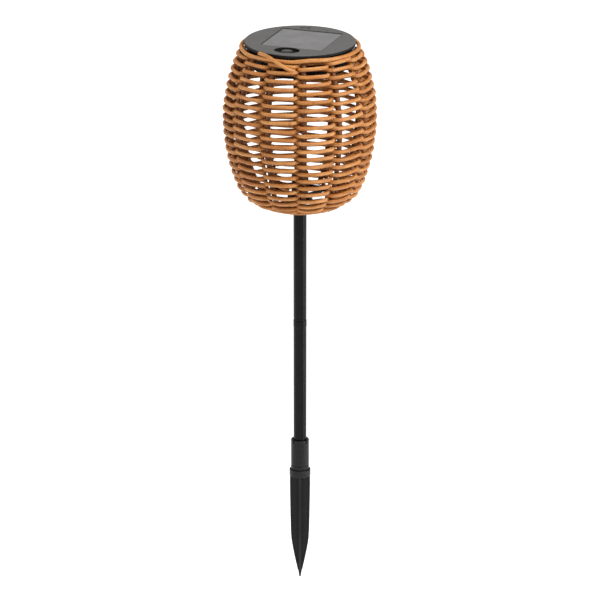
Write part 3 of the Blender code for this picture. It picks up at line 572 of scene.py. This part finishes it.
def strand_points(start_steps, end_steps, row_at_zero, parity, rng):
    """The centre line of a strand from one count of stakes passed to another."""
    count = int((end_steps - start_steps) * PER_PANEL) + 1
    steps = np.linspace(start_steps, end_steps, count)
    azimuth = FIRST_STAKE + steps * STAKE_STEP
    rows = row_at_zero + 2.0 * steps / STAKES
    middle = smoothstep(rows / 5.0) * smoothstep((ROWS - rows) / 5.0)
    rows = rows + ROW_TILT * np.cos(azimuth - VIEW_AZIMUTH) * middle
    rows = rows + wander(rng, count, PER_PANEL // 2, 0.06) + wander(rng, count, 3 * PER_PANEL, 0.09)
    side, arch = strand_sides(steps, parity)
    outer = OUTER_DEPTH - OUTER_RISE * arch + wander(rng, count, PER_PANEL // 2, 0.00016)
    radius, height = OUTLINE.at(rows / ROWS, outer)
    radius = radius - side * (INNER_REACH + INNER_BULGE * arch)
    floor = HOUSING_RADIUS + STRAND_RADIUS + 0.0005
    radius = np.where(height > HOUSING_FOOT, np.maximum(radius, floor), radius)
    path = np.stack([radius * np.sin(azimuth), -radius * np.cos(azimuth), height], axis=1)
    return path


def weave_shade():
    """The two long strands of the weave, each made up of several lengths of cane."""
    rng = np.random.default_rng(7)
    made = []
    for strand in range(2):
        begin_steps = 0.0 if strand == 0 else STAKES / 2
        row_at_zero = FIRST_ROW - 2.0 * begin_steps / STAKES
        total = (LAST_ROW - FIRST_ROW) / 2.0 * STAKES
        cuts = np.linspace(0.0, total, WEAVER_LENGTHS + 1)
        for piece in range(WEAVER_LENGTHS):
            low = begin_steps + round(cuts[piece]) + 0.55
            high = begin_steps + round(cuts[piece + 1]) + 0.30
            while (math.floor(low - CROSSING) + strand) % 2 == 0:
                low += 1
            while (math.floor(high - CROSSING) + strand) % 2 == 0:
                high += 1
            path = strand_points(low, high, row_at_zero, strand, rng)
            thick = STRAND_RADIUS * (1 + wander(rng, len(path), 3 * PER_PANEL, 0.03))
            look = (RATTAN_A, RATTAN_B)[(strand + piece) % 2]
            name = f"weaver_{'ab'[strand]}_{piece + 1}"
            made.append(sweep(name, path, thick, look, "shade", grain_shift=0.37 * len(made)))
    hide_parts("woven_shade")


def ring_strand(name, radius, height, start, stop, wave, look, thick, seed):
    """A border strand that follows the rim for part of a turn."""
    rng = np.random.default_rng(seed)
    count = int(abs(stop - start) / math.radians(2.5)) + 2
    azimuth = np.linspace(start, stop, count)
    rise = wander(rng, count, 9, wave)
    bulge = wander(rng, count, 9, wave)
    path = np.stack(
        [(radius + bulge) * np.sin(azimuth), -(radius + bulge) * np.cos(azimuth), height + rise],
        axis=1,
    )
    return sweep(name, path, thick, look, "shade", grain_shift=seed * 0.13)


def edge_borders():
    turn = math.tau
    ring_strand("rim_border_1", 0.0553, 0.4365, 3.3, 3.3 + turn * 0.99, 0.0004, RATTAN_A, 0.0019, 3)
    ring_strand("foot_border", 0.0388, 0.2836, 1.1, 1.1 + turn * 0.99, 0.0003, RATTAN_B, 0.0018, 8)


def loose_ends():
    """A strand end that lies loose across the front of the rim and tucks under a row."""
    route = [  # azimuth in degrees, radius and height in millimetres
        (-24, 54.6, 440.4),
        (-14, 56.8, 440.6),
        (-5, 58.4, 437.6),
        (4, 60.2, 433.6),
        (10, 60.8, 430.6),
        (15, 57.5, 428.4),
    ]
    knots = np.array([around(r / 1000, math.radians(a), z / 1000) for a, r, z in route])
    places = np.arange(len(route))
    fine = np.linspace(0, len(route) - 1, 41)
    path = np.stack([np.interp(fine, places, knots[:, k]) for k in range(3)], axis=1)
    for _ in range(12):  # rounds off the corners
        path[1:-1] = path[1:-1] * 0.5 + (path[:-2] + path[2:]) * 0.25
    sweep("loose_tail", path, STRAND_RADIUS, RATTAN_A, "shade", grain_shift=4.1)


def stake_canes():
    """The twelve upright canes, their thickness wandering a little, rounded at both ends."""
    rng = np.random.default_rng(11)
    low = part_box("stake_01")[0].z + 0.0022
    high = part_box("stake_01")[1].z - 0.0012
    shares = np.linspace(0.0, 1.0, 60)
    for number in range(STAKES):
        radius, height = OUTLINE.at(shares, STAKE_INSET)
        keep = (height > low) & (height < high)
        radius, height = radius[keep], height[keep]
        azimuth = FIRST_STAKE + number * STAKE_STEP
        path = np.stack(
            [radius * math.sin(azimuth), -radius * math.cos(azimuth), height], axis=1
        )
        thick = STAKE_RADIUS * (1 + wander(rng, len(path), 8, 0.012))
        name = f"cane_{number + 1:02d}"
        cane = sweep(
            name, path, thick, STAKE_CANE_PAINTED_SHADE, "shade", 12, grain_shift=0.21 * number
        )
        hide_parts(f"stake_{number + 1:02d}")


# ---------------------------------------------------------------- turned pieces
def turned(name, profile, look, body, slot, steps=96):
    """A turned piece from the (radius, height) points of its closed section."""
    points = list(profile)
    count = len(points)
    edges = [(i, (i + 1) % count) for i in range(count)]
    mesh = bpy.data.meshes.new(name)
    mesh.from_pydata([(r, 0.0, z) for r, z in points], edges, [])
    piece = bpy.data.objects.new(name, mesh)
    bpy.context.scene.collection.objects.link(piece)
    screw = piece.modifiers.new("turn", "SCREW")
    screw.axis = "Z"
    screw.steps = steps
    screw.render_steps = steps
    screw.use_merge_vertices = True
    screw.merge_threshold = 0.00001
    graph = bpy.context.evaluated_depsgraph_get()
    solid = bpy.data.meshes.new_from_object(piece.evaluated_get(graph))
    piece.modifiers.clear()
    piece.data = solid
    solid.shade_smooth()
    solid.set_sharp_from_angle(angle=math.radians(32))
    solid.materials.append(look)
    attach(piece, body)
    return piece


def rounded(corners, radius, count=4):
    """A profile whose sharp corners are turned into short arcs."""
    points = []
    size = len(corners)
    for i, (x, z) in enumerate(corners):
        here = Vector((x, z))
        before = Vector(corners[i - 1]) - here
        after = Vector(corners[(i + 1) % size]) - here
        reach = min(radius, before.length * 0.45, after.length * 0.45)
        if x < 1e-6:
            points.append((x, z))
            continue
        start = here + before.normalized() * reach
        stop = here + after.normalized() * reach
        for k in range(count + 1):
            t = k / count
            spot = start * (1 - t) ** 2 + here * 2 * t * (1 - t) + stop * t**2
            points.append((spot.x, spot.y))
    return points


def pole_tubes():
    low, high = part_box("lower_tube")
    inner = 0.00555
    lower = [
        (inner, high.z),
        (0.0065, high.z),
        (0.00655, high.z - 0.0062),
        (0.00635, high.z - 0.0078),
        (0.00635, high.z - 0.0400),
        (0.00630, low.z + 0.0400),
        (0.00630, low.z),
        (inner, low.z),
    ]
    tube = turned("pole_lower", rounded(lower, 0.0004), BLACK_TUBE, "lower_pole", "black_paint")
    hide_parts("lower_tube")
    low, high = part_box("upper_tube")
    upper = [(inner, high.z), (0.00635, high.z), (0.00635, low.z), (inner, low.z)]
    tube = turned("pole_upper", rounded(upper, 0.0004), BLACK_TUBE, "upper_pole", "black_paint")
    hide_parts("upper_tube")


def lid_marks():
    """Two small moulded rings near the lid's back edge."""
    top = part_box("cap_lid")[1].z
    size = 0.0021
    raised = top + 0.00022
    ring = [(size - 0.0005, top), (size - 0.0004, raised), (size, raised), (size + 0.0001, top)]
    for number, (x, y) in enumerate(((-0.0126, 0.0417), (-0.0066, 0.0421)), 1):
        mark = turned(f"lid_mark_{number}", ring, BLACK_MOULDED, "lamp", "grey_plastic", 32)
        mark.data.transform(Matrix.Translation((x, y, 0.0)))


dress_cad_nodes()
lid_marks()
weave_shade()
edge_borders()
loose_ends()
stake_canes()
pole_tubes()
